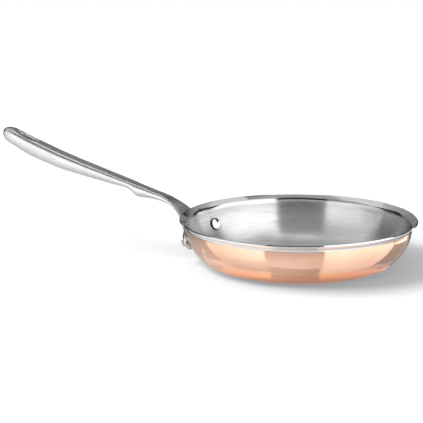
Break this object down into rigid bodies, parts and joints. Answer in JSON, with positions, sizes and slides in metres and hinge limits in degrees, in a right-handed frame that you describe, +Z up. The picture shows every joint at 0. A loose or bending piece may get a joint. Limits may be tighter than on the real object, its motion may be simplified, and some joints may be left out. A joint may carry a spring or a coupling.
{
  "type": "frying pan",
  "caption": "Shallow round frying pan with a copper skin over bonded steel, a flared pouring lip, and a long riveted cast handle with a hang slot.",
  "frame": {"origin": "centre of the base's underside, on the surface that the pan stands on", "axes": "+Z up, the handle along -X, Y across the pan"},
  "size_m": [0.3882, 0.21, 0.1066],
  "materials": {
    "copper": "polished copper",
    "sheet_steel": "fine brushed stainless steel",
    "core_aluminium": "bare cut aluminium",
    "cooking_steel": "stainless steel brushed round the pan",
    "cast_steel": "cast stainless steel, satin polished",
    "rivet_steel": "polished stainless steel"
  },
  "bodies": {
    "root": {"copper_skin": "copper", "outer_steel_ply": "sheet_steel", "aluminium_core": "core_aluminium", "cooking_steel_ply": "cooking_steel", "handle": "cast_steel", "rivet_left": "rivet_steel", "rivet_right": "rivet_steel"}
  },
  "joints": []
}
